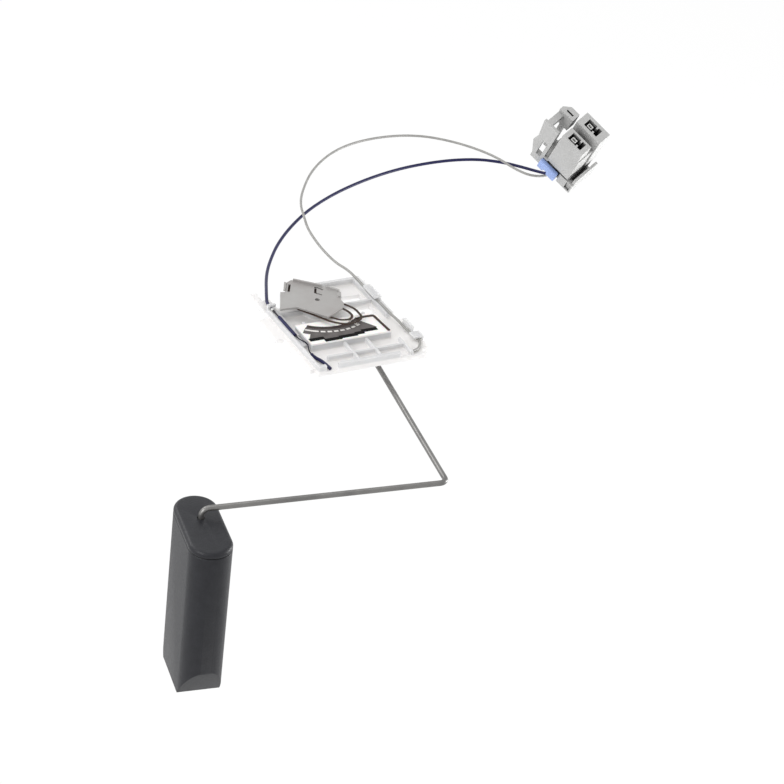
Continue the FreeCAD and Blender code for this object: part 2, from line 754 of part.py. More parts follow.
def make_lever():
    """The lever: plate with grip ribs and slots, hub, snap lip, and the lug between the stops."""
    plate = prism(
        "lever_plate",
        [
            ("-20.8", "-2.8"),
            ("-12.0", "-3.6"),
            ("-2.4", "-15.8"),
            ("0.6", "-14.4"),
            ("4.3", "-12.4"),
            ("8.1", "-10.4"),
            ("10.6", "-6.7"),
            ("10.6", "-3.8"),
            ("14.0", "3.1"),
            ("9.2", "9.6"),
            ("7.6", "10.6"),
            ("-3.8", "20.5"),
            ("-8.0", "18.4"),
            ("-11.6", "10.9"),
            ("-13.8", "11.6"),
        ],
        "lever_low",
        "lever_thick",
    )
    hub = rod("lever_hub", ("0", "0", "-hub_low"), "hub_radius", "hub_low + lever_low")
    shoulder = rod(
        "lever_shoulder",
        ("0", "0", "boss_top + end_float"),
        "boss_radius - 1",
        "lever_low - boss_top - end_float",
    )
    lip = rod(
        "snap_lip",
        ("0", "0", "-end_float - lip_high"),
        "hub_radius + hub_fit + lip_proud",
        "lip_high",
    )
    lug = sector(
        "stop_lug",
        "stop_inner",
        "stop_outer",
        "lever_low - lug_deep",
        "lug_deep",
        "stop_turn - lug_arc / 2",
        "lug_arc",
    )
    top = "lever_low + lever_thick"
    long_grip = box("long_grip", ("-3.7", "19.0", top), ("14.0", "grip_thick", "grip_high"), "-41")
    short_grip = box("short_grip", ("8.5", "8.5", top), ("6.8", "grip_thick", "grip_high"), "-52")
    hook = box("right_hook", ("10.2", "-1.0", top), ("1.2", "3.4", "0.8"), "-27")
    left_grip = box("left_grip", ("-11.2", "11.6", top), ("7.4", "0.9", "0.8"), "62")
    solid = fuse(
        "lever_body",
        [plate, hub, shoulder, lip, lug, long_grip, short_grip, hook, left_grip],
    )
    pivot_hole = rod(
        "wire_bore",
        ("0", "0", "-hub_low - 1"),
        "wire_radius + wire_fit",
        "hub_low + lever_low + lever_thick + 2",
    )
    wire_way = "atan2(crank_y; crank_x)"
    wire_slot = box(
        "wire_slot",
        (
            f"(wire_radius + wire_fit) * sin({wire_way})",
            f"-(wire_radius + wire_fit) * cos({wire_way})",
            "-hub_low - 1",
        ),
        (
            "hub_radius + 3",
            "2 * (wire_radius + wire_fit)",
            "hub_low + 1 - arm_drop + bend_radius + wire_radius",
        ),
        wire_way,
    )
    tongue_side = box("tongue_side", ("2.2", "5.4", "0"), ("6.2", "lever_slot", "20"), "63")
    tongue_low = box("tongue_low", ("1.4", "5.65", "0"), ("3.6", "lever_slot", "20"), "-50")
    tongue_high = box("tongue_high", ("4.5", "10.2", "0"), ("3.4", "lever_slot", "20"), "-60")
    left_slot = box("left_slot", ("-9.4", "10.4", "0"), ("7.2", "lever_slot", "20"), "60")
    for tool in (tongue_side, tongue_low, tongue_high, left_slot):
        bind(tool, Placement_Base_z="lever_low - 1")
        bind(tool, Height="lever_thick + 2")
    lever = cut(
        "lever_cut",
        solid,
        [pivot_hole, wire_slot, tongue_side, tongue_low, tongue_high, left_slot],
    )
    piece(lever, "wiper_lever")


OUTER_SPRING = [
    (-12.2, -2.4),
    (-10.8, -5.4),
    (-6.4, -11.8),
    (-2.0, -19.0),
    (3.2, -22.9),
    (9.6, -22.6),
    (14.0, -19.4),
    (14.1, -11.0),
    (11.3, -6.2),
    (9.6, -4.2),
]
INNER_SPRING = [
    (-2.8, -11.8),
    (-1.1, -14.4),
    (3.0, -18.9),
    (7.9, -19.4),
    (10.2, -16.5),
    (9.9, -12.4),
    (8.2, -8.6),
    (6.8, -6.4),
]


def make_wipers():
    """Two bowed springs under the lever, each held at both ends, with a contact tip."""
    level = size("lever_low - strip_thick")
    print_top = "board_seat + board_thick + print_thick"
    for name, route, tip in (
        ("outer", OUTER_SPRING, ("9.2", "-22.0")),
        ("inner", INNER_SPRING, ("7.6", "-18.9")),
    ):
        wire = rounded_path([(x, y, level) for x, y in route], lead_bend)
        strip = strip_shape(wire, size("strip_wide"), size("strip_thick"))
        piece(solid_feature(f"{name}_strip", strip), f"wiper_spring_{name}")
        low = f"{print_top} + tip_gap"
        point = doc.addObject("Part::Cone", f"{name}_tip_point")
        bind(point, Radius1="tip_radius / 2", Radius2="tip_radius", Height="tip_radius / 2")
        place(point, tip[0], tip[1], low)
        shank = rod(
            f"{name}_tip_shank",
            (tip[0], tip[1], f"{low} + tip_radius / 2"),
            "tip_radius",
            f"lever_low - strip_thick - ({low} + tip_radius / 2)",
        )
        piece(fuse(f"{name}_tip", [point, shank]), f"contact_tip_{name}")


def make_float_arm():
    """The bent wire: one end is the pivot pin in the hub, the other end is the float's axle."""
    drop = -size("arm_drop")
    axle = (size("float_x"), size("float_y"))
    low = -size(
        "arm_drop + float_drop + float_high + retainer_gap + retainer_thick + wire_proud"
    )
    points = [
        (0, 0, size("wire_end")),
        (0, 0, drop),
        (size("crank_x"), size("crank_y"), drop),
        (size("elbow_x"), size("elbow_y"), drop),
        (axle[0], axle[1], drop),
        (axle[0], axle[1], low),
    ]
    bends = iter(["bend_radius", "crank_radius", "elbow_radius", "bend_radius"])
    wire = rounded_path(points, lambda shorter, turn: size(next(bends)))
    piece(solid_feature("arm_wire", tube_shape(wire, size("wire_radius"))), "float_arm")


def make_float():
    """The foam float, free to turn on the wire's end, and the push-on retainer under it."""
    end = "float_wide / 2"
    shift = "(float_long - float_wide) / 2"
    middle = box(
        "float_middle",
        (f"-({shift})", f"-{end}", "-float_high"),
        (f"2 * {shift}", "float_wide", "float_high"),
    )
    ends = [
        rod(f"float_end_{side}", (f"{sign}({shift})", "0", "-float_high"), end, "float_high")
        for side, sign in (("one", ""), ("two", "-"))
    ]
    block = fuse("float_block", [middle] + ends)
    tools = [
        rod(
            "float_bore",
            ("hole_shift", "0", "-float_high - 1"),
            "wire_radius + float_fit",
            "float_high + 2",
        )
    ]
    for name, sign in (("front", "-"), ("back", "")):
        past = "bevel_over"
        profile = outline(
            f"float_bevel_{name}_outline",
            [
                (f"{sign}(float_long / 2 - bevel_in)", "-float_high"),
                (f"{sign}(float_long / 2 + {past})", f"-float_high - {past}"),
                (
                    f"{sign}(float_long / 2 + {past})",
                    f"-float_high + bevel_high * (bevel_in + {past}) / bevel_in",
                ),
            ],
        )
        profile.Placement = FreeCAD.Placement(
            FreeCAD.Vector(), FreeCAD.Rotation(FreeCAD.Vector(1, 0, 0), 90)
        )
        wedge = doc.addObject("Part::Extrusion", f"float_bevel_{name}")
        wedge.Base = profile
        wedge.DirMode = "Custom"
        wedge.Dir = FreeCAD.Vector(0, 1, 0)
        wedge.Symmetric = True
        wedge.Solid = True
        bind(wedge, LengthFwd="float_wide + 2 * bevel_over")
        tools.append(wedge)
    foam = cut("float_cut", block, tools)
    middle_x = "float_x - hole_shift * cos(float_turn)"
    middle_y = "float_y - hole_shift * sin(float_turn)"
    place(foam, middle_x, middle_y, "-arm_drop - float_drop", "float_turn")
    piece(foam, "float")
    level = "-(arm_drop + float_drop + float_high + retainer_gap + retainer_thick)"
    disc = rod("retainer_disc", ("float_x", "float_y", level), "retainer_radius", "retainer_thick")
    hole = rod(
        "retainer_hole",
        ("float_x", "float_y", f"{level} - 1"),
        "wire_radius + wire_fit",
        "retainer_thick + 2",
    )
    piece(cut("retainer", disc, [hole]), "float_retainer")


def plug_placement():
    """The attitude of the connector as it lies."""
    return FreeCAD.Placement(
        FreeCAD.Vector(size("plug_x"), size("plug_y"), size("plug_z")),
        FreeCAD.Rotation(size("plug_yaw"), size("plug_pitch"), size("plug_roll")),
    )


def lay_plug(thing):
    """Lays a piece built in the connector's own axes where the connector lies."""
    thing.Placement = plug_placement()
    bind(thing, Placement_Base_x="plug_x", Placement_Base_y="plug_y", Placement_Base_z="plug_z")
    return thing


def make_connector():
    """The two-way housing with its latch and guard, its contacts and its secondary lock."""
    second = "tower_deep + tower_gap"
    base = box(
        "plug_base",
        ("0", "0", "0"),
        ("plug_long - groove_deep", "plug_wide", "plug_deep"),
    )
    tower_one = box("tower_one", ("0", "0", "0"), ("plug_long", "plug_wide - 0.6", "tower_deep"))
    tower_two = box(
        "tower_two",
        ("0", "-0.8", second),
        ("plug_long", "plug_wide + 1.6", f"plug_deep - ({second})"),
    )
    rear = box(
        "plug_rear",
        ("-plug_back", "0", "guard_thick"),
        ("plug_back + 1", "plug_wide + 0.4", "plug_deep - guard_thick - 1"),
    )
    collar = box(
        "plug_collar",
        ("-plug_back", "collar_in", "0"),
        ("plug_back - 1.5", "collar_out - collar_in", "plug_deep - 2"),
    )
    rail = box(
        "plug_rail",
        ("-plug_back", "collar_out - rail_thick", "1"),
        ("plug_back + 3", "rail_thick", "plug_deep - 3"),
    )
    guard_top = "plug_long - 2"
    guard = prism(
        "latch_guard",
        [
            ("-plug_back", "0.5"),
            ("-plug_back", "-guard_out + 3"),
            ("-plug_back + 4", "-guard_out + 3"),
            ("5", "-guard_out"),
            ("11", "-guard_out + 1.4"),
            (guard_top, "-guard_out"),
            (guard_top, "-guard_gap"),
            ("0", "-guard_gap"),
            ("0", "0.5"),
        ],
        "0",
        "guard_thick",
    )
    guard_bridge = box(
        "guard_bridge",
        ("-plug_back", "-guard_out + 3", "0"),
        ("4", "guard_out - 2.5", "bridge_deep"),
    )
    latch_root = box(
        "latch_root",
        ("-plug_back", "-guard_out + 3", "latch_low"),
        ("4", "guard_out - 2.5", "latch_wide"),
    )
    slot_wall = box(
        "slot_wall",
        ("-plug_back", "-5", "guard_thick - 0.5"),
        ("4", "5.5", "plug_deep - guard_thick - 1.5"),
    )
    latch = box(
        "latch_arm",
        ("-plug_back", "-guard_gap - 3.4 - latch_thick", "latch_low"),
        ("plug_back + plug_long - 1", "latch_thick", "latch_wide"),
    )
    pad = box(
        "latch_pad",
        ("plug_long - pad_long", "-guard_out + 1", "latch_low"),
        ("pad_long + 0.4", "guard_out - guard_gap - 1", "latch_wide"),
    )
    pad_corner = box("pad_corner", ("0", "0", "0"), ("8", "8", "6"))
    pad_corner.Placement = FreeCAD.Placement(
        FreeCAD.Vector(), FreeCAD.Rotation(FreeCAD.Vector(1, 0, 0), 45)
    )
    bind(
        pad_corner,
        Placement_Base_x="plug_long - 5",
        Placement_Base_y="-guard_out",
        Placement_Base_z="latch_low + 1.2",
    )
    tie = box(
        "latch_tie",
        (f"{guard_top} - 4", "-guard_out + 1.2", "guard_thick - 0.2"),
        ("4", "3.4", "latch_low - guard_thick + 0.6"),
    )
    body = fuse(
        "plug_body",
        [
            base,
            tower_one,
            tower_two,
            rear,
            collar,
            rail,
            guard,
            guard_bridge,
            latch_root,
            slot_wall,
            latch,
            cut("latch_pad_cut", pad, [pad_corner]),
            tie,
        ],
    )
    tools = [
        box("guard_window", ("-3.6", "-7.4", "-1"), ("14.4", "3", "guard_thick + 2")),
        box("pad_slot", ("plug_long - 1", "-guard_out + 4", "latch_low + 1.7"), ("4", "4.4", "1.1")),
        box(
            "rail_slot",
            ("-plug_back + 3", "plug_wide + 0.8", "3"),
            ("plug_back + 1", "collar_out - rail_thick - plug_wide - 0.8", "plug_deep"),
        ),
        box("collar_pocket", ("-plug_back + 1", "plug_wide + 0.4", "-0.5"), ("6", "3.2", "1.7")),
        box(
            "lock_slot",
            ("-plug_back + 2 - lock_gap", "lock_start + 7.8 - lock_gap", "-1"),
            ("3 + 2 * lock_gap", "3.6 + 2 * lock_gap", "lock_tongue + 1 + guard_thick + lock_gap"),
        ),
    ]
    across = "(plug_wide - 0.6 - window_length) / 2"
    for name, low in (
        ("one", "cavity_wall"),
        ("two", f"{second} + (plug_deep - ({second}) - window_depth) / 2"),
    ):
        well = box(
            f"cavity_{name}",
            ("plug_long - cavity_deep", across, low),
            ("cavity_deep + 1", "window_length", "window_depth"),
        )
        keys = [
            box(
                f"key_{name}_{side}",
                ("plug_long - cavity_deep - 1", f"{across} + window_length * 0.62", start),
                ("cavity_deep + 3", "1.1", "window_depth * 0.24"),
            )
            for side, start in (("low", f"{low} - 0.01"), ("high", f"{low} + window_depth * 0.76 + 0.01"))
        ]
        tools.append(cut(f"cavity_{name}_keyed", well, keys))
        shell = box(
            f"contact_{name}_shell",
            (
                "plug_long - cavity_deep",
                f"{across} + 1.4",
                f"{low} + (window_depth - contact_deep) / 2",
            ),
            ("cavity_deep - 1", "contact_wide", "contact_deep"),
        )
        mouth = box(
            f"contact_{name}_mouth",
            (
                "plug_long - cavity_deep + 1",
                f"{across} + 1.4 + 0.35",
                f"{low} + (window_depth - contact_deep) / 2 + 0.35",
            ),
            ("cavity_deep", "contact_wide - 0.7", "contact_deep - 0.7"),
        )
        contact = cut(f"contact_{name}", shell, [mouth])
        piece(lay_plug(contact), f"contact_receptacle_{name}")
    housing = cut("plug_cut", body, tools)
    piece(lay_plug(housing), "connector_housing")
    cap = box(
        "lock_cap",
        ("-plug_back + 0.6", "lock_start", "-lock_proud"),
        ("lock_high", "lock_long", "lock_proud - 0.05"),
    )
    tongue = box(
        "lock_tongue_bar",
        ("-plug_back + 2", "lock_start + 7.8", "-lock_proud + 0.5"),
        ("3", "3.6", "lock_tongue + lock_proud - 0.5"),
    )
    notch = box(
        "lock_notch",
        ("-plug_back", "lock_start + 4", "-lock_proud - 1"),
        ("2.6", "2.4", "lock_proud + 2"),
    )
    piece(lay_plug(cut("lock_cut", fuse("lock_body", [cap, tongue]), [notch])), "connector_lock")


BLUE_ROUTE = [
    (-21.2, 6.0, 5.0),
    (-21.2, 9.8, 5.0),
    (-18.6, 15.8, 5.0),
    (-15.0, 23.4, 4.2),
    (-10.6, 32.6, 2.8),
    (-5.4, 42.4, 1.6),
    (0.9, 52.4, 1.0),
    (12.2, 67.6, 0.8),
    (27.7, 83.5, 0.8),
    (47.1, 99.0, 0.8),
    (73.3, 113.3, 0.8),
    (105.6, 124.3, 0.8),
    (135.0, 127.4, 0.8),
    (157.2, 124.4, 0.8),
    (170.2, 116.4, 0.9),
    (176.8, 107.2, 1.6),
    (181.2, 99.8, 2.2),
    (184.1, 91.9, 3.8),
    (183.1, 88.1, 9.0),
]
GREY_ROUTE = [
    (30.8, 21.0, 5.0),
    (30.8, 27.4, 5.0),
    (29.7, 37.0, 3.6),
    (30.6, 48.4, 2.0),
    (32.0, 62.0, 0.9),
    (34.2, 78.2, 0.9),
    (38.2, 93.6, 3.1),
    (47.4, 112.2, 2.4),
    (64.7, 135.8, 0.7),
    (84.1, 152.1, 0.7),
    (103.4, 160.4, 0.7),
    (124.5, 162.2, 0.7),
    (142.1, 158.0, 0.7),
    (155.0, 147.5, 0.8),
    (163.6, 133.4, 1.6),
    (167.6, 117.3, 3.3),
    (171.4, 105.6, 1.9),
    (177.3, 97.4, 0.8),
    (187.0, 94.6, 1.2),
    (195.3, 96.3, 7.3),
    (194.1, 91.6, 13.7),
]


def make_leads():
    """The two free leads, and the stretches that the plate holds."""
    blue = size("blue_radius")
    grey = size("grey_radius")
    core = size("core_radius")
    sleeve = size("core_radius + core_fit")
    level = size("wall_top")
    for name, route, radius in (("lead_blue", BLUE_ROUTE, blue), ("lead_grey", GREY_ROUTE, grey)):
        wire = rounded_path(route, lead_bend)
        print(name, "length", round(wire.Length, 1), "radii", bend_radii(wire))
        piece(solid_feature(f"{name}_tube", tube_shape(wire, radius)), name)

    left = -size("channel_left")
    end = size("channel_end")
    near = -size("body_near - wall_thick")
    low = size("floor_thick") + blue + 0.1
    room = size("tail_room")
    rail_end = near + room + size("core_room")
    path = [
        (left, end, level),
        (left, near + room + 0.6 * size("core_room"), level),
        (-size("board_left") - 0.6, near + room + 0.2, level - 0.1),
        (left + 0.9, near + 14.5, level - 1.4),
        (left + 1.2, near + 10.1, low + 0.1),
        (left + 3.4, near + 5.5, low),
        (left + 4.0, near - 1.2, low),
    ]
    wire = rounded_path(path, lead_bend)
    piece(solid_feature("blue_core", tube_shape(wire, core)), "lead_blue_core")
    rail_start = size("rail_sleeve")
    for name, start, length in (
        ("rail", rail_start, rail_start - rail_end),
        ("shoulder", end, size("shoulder_long")),
    ):
        outer = Part.makeCylinder(
            blue, length, FreeCAD.Vector(left, start, level), FreeCAD.Vector(0, -1, 0)
        )
        inner = Part.makeCylinder(
            sleeve, length + 2, FreeCAD.Vector(left, start + 1, level), FreeCAD.Vector(0, -1, 0)
        )
        piece(solid_feature(f"sleeve_{name}", outer.cut(inner)), f"lead_blue_sleeve_{name}")
    tail = Part.Wire([edge.copy() for edge in wire.Edges[-4:]])
    tail_tube = tube_shape(tail, blue).cut(tube_shape(tail, sleeve))
    piece(solid_feature("sleeve_tail", tail_tube), "lead_blue_sleeve_tail")
    ring_start = size("ring_start")
    ring_long = size("ring_long")
    ring = Part.makeCylinder(
        size("ring_radius"),
        ring_long,
        FreeCAD.Vector(left, ring_start, level),
        FreeCAD.Vector(0, -1, 0),
    )
    hole = Part.makeCylinder(
        sleeve,
        ring_long + 2,
        FreeCAD.Vector(left, ring_start + 1, level),
        FreeCAD.Vector(0, -1, 0),
    )
    piece(solid_feature("ring", ring.cut(hole)), "crimp_ring")

    right = size("channel_right")
    corner = size("body_right")
    start = size("body_far")
    low = size("floor_thick") + grey + 0.1
    leave = size("rail_end")
    cover = size("-body_near + cover_start + 0.58 * cover_long")
    flange = size("flange_right")
    path = [
        (right, start, level),
        (right, leave - 1.5, level),
        (right + 0.9, leave + 0.34 * (cover - leave), level - 0.4),
        (right + 1.6, leave + 0.66 * (cover - leave), low + 0.65),
        (flange - 2.4, cover, low),
        (flange - 2.9, near + 6.9, low),
        (corner - 2.6, near + 2.3, low),
        (corner - 6.6, near + 0.6, low + 0.4),
    ]
    wire = rounded_path(path, lead_bend)
    piece(solid_feature("grey_held", tube_shape(wire, grey)), "lead_grey_rail")


make_carrier()
make_board()
make_end_strap()
make_lever()
make_wipers()
make_float_arm()
make_float()
make_connector()
make_leads()
doc.recompute()

for thing in doc.Objects:
    if "Invalid" in thing.State or "Error" in thing.State:
        raise RuntimeError(f"{thing.Name} failed: {thing.State}")
os.makedirs("parts", exist_ok=True)
for thing in pieces:
    shape = thing.Shape
    if shape.isNull() or not shape.isValid() or not shape.Solids:
        raise RuntimeError(f"{thing.Label} has no valid solid")
    shape.exportStep(f"parts/{thing.Label}.step")
    reach = shape.BoundBox
    print(
        f"{thing.Label}: {len(shape.Solids)} solid, {shape.Volume:.1f} mm3,",
        f"x {reach.XMin:.1f}..{reach.XMax:.1f} y {reach.YMin:.1f}..{reach.YMax:.1f}",
        f"z {reach.ZMin:.1f}..{reach.ZMax:.1f}",
    )
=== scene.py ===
"""Looks of the fuel level sender: finishes, modelled pieces, leads, stage, light and camera.

Everything is in metres, in the part's own frame: the origin is where the pivot axis meets the
plate's flat back, +Z is the side of the tracks and +Y points to the end where the leads leave.
"""
import json
import math

import bpy
from mathutils import Matrix, Vector


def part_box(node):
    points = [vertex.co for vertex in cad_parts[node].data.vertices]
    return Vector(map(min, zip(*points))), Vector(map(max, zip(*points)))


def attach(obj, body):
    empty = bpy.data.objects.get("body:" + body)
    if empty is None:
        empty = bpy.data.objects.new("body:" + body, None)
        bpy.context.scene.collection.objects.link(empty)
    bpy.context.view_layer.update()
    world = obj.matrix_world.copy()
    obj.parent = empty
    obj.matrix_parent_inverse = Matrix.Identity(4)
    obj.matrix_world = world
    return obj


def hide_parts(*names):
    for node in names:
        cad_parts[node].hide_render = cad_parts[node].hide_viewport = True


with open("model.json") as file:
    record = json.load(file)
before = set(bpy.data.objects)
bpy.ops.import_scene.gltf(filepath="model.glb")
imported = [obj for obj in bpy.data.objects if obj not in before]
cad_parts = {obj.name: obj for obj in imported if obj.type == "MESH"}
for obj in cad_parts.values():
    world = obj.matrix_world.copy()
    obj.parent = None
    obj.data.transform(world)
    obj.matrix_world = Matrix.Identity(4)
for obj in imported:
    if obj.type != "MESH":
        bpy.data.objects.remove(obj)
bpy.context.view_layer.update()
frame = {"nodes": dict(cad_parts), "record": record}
bpy.ops.object.select_all(action="DESELECT")
MM = 0.001

# Camera: the photograph's viewing angle
VIEW_AZIMUTH = math.radians(-31.8)
VIEW_ELEVATION = math.radians(31.4)
VIEW_ROLL = math.radians(7.3)
VIEW_DISTANCE = 1077 * MM
VIEW_TARGET = Vector((2.9, -71.4, 0.0)) * MM
FOCAL_PIXELS = 2400
IMAGE_PIXELS = 784
SENSOR_WIDTH = 36


def make_camera():
    """A long lens from above and to the left, rolled as the photograph is."""
    data = bpy.data.cameras.new("camera")
    data.sensor_width = SENSOR_WIDTH
    data.lens = FOCAL_PIXELS / IMAGE_PIXELS * SENSOR_WIDTH
    camera = bpy.data.objects.new("camera", data)
    bpy.context.scene.collection.objects.link(camera)
    flat = math.cos(VIEW_ELEVATION)
    back = Vector(
        (math.sin(VIEW_AZIMUTH) * flat, -math.cos(VIEW_AZIMUTH) * flat, math.sin(VIEW_ELEVATION))
    )
    level = Vector((-back.y, back.x, 0)).normalized()
    upright = back.cross(level)
    right = level * math.cos(VIEW_ROLL) + upright * math.sin(VIEW_ROLL)
    up = back.cross(right)
    turn = Matrix((right, up, back)).transposed().to_4x4()
    camera.matrix_world = Matrix.Translation(VIEW_TARGET + back * VIEW_DISTANCE) @ turn
    bpy.context.scene.camera = camera


# Shader groups

def new_group(name, inputs, outputs):
    """An empty shader group with float inputs and the given outputs."""
    group = bpy.data.node_groups.new(name, "ShaderNodeTree")
    for title, default in inputs:
        socket = group.interface.new_socket(title, in_out="INPUT", socket_type="NodeSocketFloat")
        socket.default_value = default
    for title, kind in outputs:
        group.interface.new_socket(title, in_out="OUTPUT", socket_type=kind)
    return group, group.nodes.new("NodeGroupInput"), group.nodes.new("NodeGroupOutput")


def make_edge_group():
    """Softened edges: a normal rounded over the edges, and a mask of where they are."""
    group, inlet, outlet = new_group(
        "soft_edges",
        [("Radius", 0.0002), ("Gain", 6.0)],
        [("Edge", "NodeSocketFloat"), ("Normal", "NodeSocketVector")],
    )
    link = group.links.new
    bevel = group.nodes.new("ShaderNodeBevel")
    bevel.samples = 6
    link(inlet.outputs["Radius"], bevel.inputs["Radius"])
    facing = group.nodes.new("ShaderNodeNewGeometry")
    dot = group.nodes.new("ShaderNodeVectorMath")
    dot.operation = "DOT_PRODUCT"
    link(bevel.outputs["Normal"], dot.inputs[0])
    link(facing.outputs["Normal"], dot.inputs[1])
    away = group.nodes.new("ShaderNodeMath")
    away.operation = "SUBTRACT"
    away.inputs[0].default_value = 1.0
    link(dot.outputs["Value"], away.inputs[1])
    gain = group.nodes.new("ShaderNodeMath")
    gain.operation = "MULTIPLY"
    gain.use_clamp = True
    link(away.outputs[0], gain.inputs[0])
    link(inlet.outputs["Gain"], gain.inputs[1])
    link(gain.outputs[0], outlet.inputs["Edge"])
    link(bevel.outputs["Normal"], outlet.inputs["Normal"])
    return group


def make_grain_group():
    """Fine grain and slow mottle of a moulded or foamed surface, both from 0 to 1."""
    group, inlet, outlet = new_group(
        "grain_and_mottle",
        [("Grain Scale", 2500.0), ("Mottle Scale", 90.0), ("Grain Detail", 4.0)],
        [("Grain", "NodeSocketFloat"), ("Mottle", "NodeSocketFloat")],
    )
    link = group.links.new
    place = group.nodes.new("ShaderNodeTexCoord")
    for title in ("Grain", "Mottle"):
        noise = group.nodes.new("ShaderNodeTexNoise")
        noise.inputs["Roughness"].default_value = 0.6
        link(place.outputs["Object"], noise.inputs["Vector"])
        link(inlet.outputs[f"{title} Scale"], noise.inputs["Scale"])
        link(inlet.outputs["Grain Detail"], noise.inputs["Detail"])
        spread = group.nodes.new("ShaderNodeMapRange")
        spread.inputs["From Min"].default_value = 0.3
        spread.inputs["From Max"].default_value = 0.7
        link(noise.outputs["Fac"], spread.inputs["Value"])
        link(spread.outputs["Result"], outlet.inputs[title])
    return group


def make_hollow_shade_group():
    """How deep a point lies in a slot or a corner: 0 in the open, 1 deep inside; it masks the shade
    painted into slots and corners.
    """
    group, inlet, outlet = new_group(
        "hollow_shade", [("Reach", 0.002), ("Start", 0.35), ("Stop", 0.9)], [("Depth", "NodeSocketFloat")]
    )
    link = group.links.new
    open_sky = group.nodes.new("ShaderNodeAmbientOcclusion")
    open_sky.samples = 8
    link(inlet.outputs["Reach"], open_sky.inputs["Distance"])
    closed = group.nodes.new("ShaderNodeMath")
    closed.operation = "SUBTRACT"
    closed.inputs[0].default_value = 1.0
    link(open_sky.outputs["AO"], closed.inputs[1])
    depth = group.nodes.new("ShaderNodeMapRange")
    link(closed.outputs[0], depth.inputs["Value"])
    link(inlet.outputs["Start"], depth.inputs["From Min"])
    link(inlet.outputs["Stop"], depth.inputs["From Max"])
    link(depth.outputs["Result"], outlet.inputs["Depth"])
    return group


def make_thin_floor_light_group():
    """Where a moulding is thin, by height above its back: 1 in the thin floor, 0 in the walls; it
    masks the light painted onto the floor, as if shining through it.
    """
    group, inlet, outlet = new_group(
        "thin_floor_light", [("Floor", 0.0021), ("Wall", 0.003)], [("Thin", "NodeSocketFloat")]
    )
    link = group.links.new
    place = group.nodes.new("ShaderNodeTexCoord")
    axes = group.nodes.new("ShaderNodeSeparateXYZ")
    link(place.outputs["Object"], axes.inputs[0])
    height = group.nodes.new("ShaderNodeMapRange")
    height.inputs["To Min"].default_value = 1.0
    height.inputs["To Max"].default_value = 0.0
    link(axes.outputs["Z"], height.inputs["Value"])
    link(inlet.outputs["Floor"], height.inputs["From Min"])
    link(inlet.outputs["Wall"], height.inputs["From Max"])
    link(height.outputs["Result"], outlet.inputs["Thin"])
    return group


EDGES = make_edge_group()
GRAIN = make_grain_group()
# The hollow mask paints shade into slots and corners.
HOLLOW_SHADE_GROUP = make_hollow_shade_group()
# The thin-floor mask paints light onto thin floors.
THIN_FLOOR_LIGHT_GROUP = make_thin_floor_light_group()


def linear(*channels):
    """A colour given as the photograph shows it, 0 to 255, as the shader needs it."""
    return tuple(
        (c / 255 / 12.92 if c <= 10 else ((c / 255 + 0.055) / 1.055) ** 2.4) for c in channels
    ) + (1.0,)


